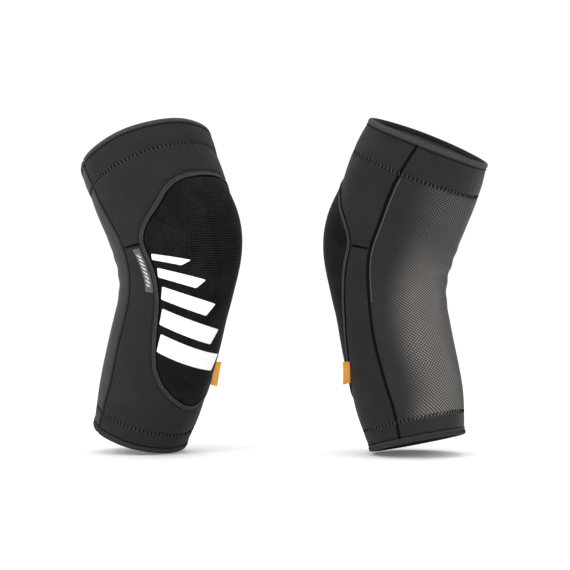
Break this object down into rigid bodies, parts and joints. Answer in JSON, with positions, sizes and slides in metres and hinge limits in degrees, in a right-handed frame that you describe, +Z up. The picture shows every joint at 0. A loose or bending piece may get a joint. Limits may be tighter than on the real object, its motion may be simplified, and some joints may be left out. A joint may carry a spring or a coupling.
{
  "type": "knee guards",
  "caption": "Pair of pull-on stretch knee guards, pre-bent, with a soft moulded pad over each knee, mesh backs, elastic grip cuffs and a plain bar print.",
  "frame": {"origin": "middle of the pair's bounding box, on the surface that the shin hems stand on", "axes": "+X runs along the pair from the left guard to the right, +Z up the sleeves, -Y is the side they are seen from"},
  "size_m": [0.3674, 0.1466, 0.3046],
  "materials": {
    "panel_fabric": "matt brushed stretch softshell, charcoal",
    "mesh_fabric": "fine diagonal stretch mesh, dark grey",
    "cover_fabric": "finely ribbed abrasion fabric, near black",
    "pad_foam": "soft moulded viscoelastic pad",
    "lining_fabric": "smooth knit lining",
    "binding_fabric": "flat woven seam band",
    "hem_fabric": "folded edge with overlock stitching",
    "elastic_band": "ribbed knit elastic",
    "grip_silicone": "satin silicone bead",
    "thread": "polyester thread",
    "seam_thread": "flatlock stitching",
    "print_white": "satin transfer film",
    "label_fabric": "woven satin label",
    "tag_fabric": "folded woven tag, orange"
  },
  "bodies": {
    "left_shin": {"left_lower_panel": "panel_fabric", "left_rear_mesh": "mesh_fabric", "left_knee_cover": "cover_fabric", "left_impact_pad": "pad_foam", "left_pad_lining": "lining_fabric", "left_knee_binding": "binding_fabric", "left_knee_stitch": "thread", "left_front_print": "print_white", "left_shin_hem": "hem_fabric", "left_shin_elastic": "elastic_band", "left_shin_grip": "grip_silicone", "left_shin_stitch": "thread", "left_label_rear_seam": "seam_thread", "left_tag_rear_seam": "seam_thread", "left_label_side_seam": "seam_thread", "left_tag_side_seam": "seam_thread", "left_label": "label_fabric", "left_tag": "tag_fabric"},
    "left_thigh": {"left_upper_panel": "panel_fabric", "left_thigh_hem": "hem_fabric", "left_thigh_elastic": "elastic_band", "left_thigh_grip": "grip_silicone", "left_thigh_stitch": "thread"},
    "right_shin": {"right_lower_panel": "panel_fabric", "right_rear_mesh": "mesh_fabric", "right_knee_cover": "cover_fabric", "right_impact_pad": "pad_foam", "right_pad_lining": "lining_fabric", "right_knee_binding": "binding_fabric", "right_knee_stitch": "thread", "right_front_print": "print_white", "right_shin_hem": "hem_fabric", "right_shin_elastic": "elastic_band", "right_shin_grip": "grip_silicone", "right_shin_stitch": "thread", "right_label_rear_seam": "seam_thread", "right_tag_rear_seam": "seam_thread", "right_label_side_seam": "seam_thread", "right_tag_side_seam": "seam_thread", "right_label": "label_fabric", "right_tag": "tag_fabric"},
    "right_thigh": {"right_upper_panel": "panel_fabric", "right_thigh_hem": "hem_fabric", "right_thigh_elastic": "elastic_band", "right_thigh_grip": "grip_silicone", "right_thigh_stitch": "thread"}
  },
  "joints": [
    {"name": "left_knee_flex", "type": "hinge", "parent": "left_shin", "child": "left_thigh", "pos_m": [-0.09766, -0.00977, 0.18075], "axis": [-0.6756, -0.7373, 0], "range_deg": [-40, 55], "stiffness_Nm_per_rad": 1.2, "deforming": ["left_upper_panel", "left_lower_panel", "left_rear_mesh", "left_knee_cover", "left_impact_pad", "left_pad_lining", "left_knee_binding", "left_knee_stitch", "left_front_print", "left_label_rear_seam", "left_tag_rear_seam", "left_label_side_seam", "left_tag_side_seam"]},
    {"name": "pair_slide", "type": "slide", "parent": "left_shin", "child": "right_shin", "axis": [1, 0, 0], "range_m": [0, 0.15]},
    {"name": "right_knee_flex", "type": "hinge", "parent": "right_shin", "child": "right_thigh", "pos_m": [0.10028, 0.00541, 0.18016], "axis": [0.6088, 0.7934, 0], "range_deg": [-30, 65], "stiffness_Nm_per_rad": 1.2, "deforming": ["right_upper_panel", "right_lower_panel", "right_rear_mesh", "right_knee_cover", "right_impact_pad", "right_pad_lining", "right_knee_binding", "right_knee_stitch", "right_front_print", "right_label_rear_seam", "right_tag_rear_seam", "right_label_side_seam", "right_tag_side_seam"]}
  ]
}
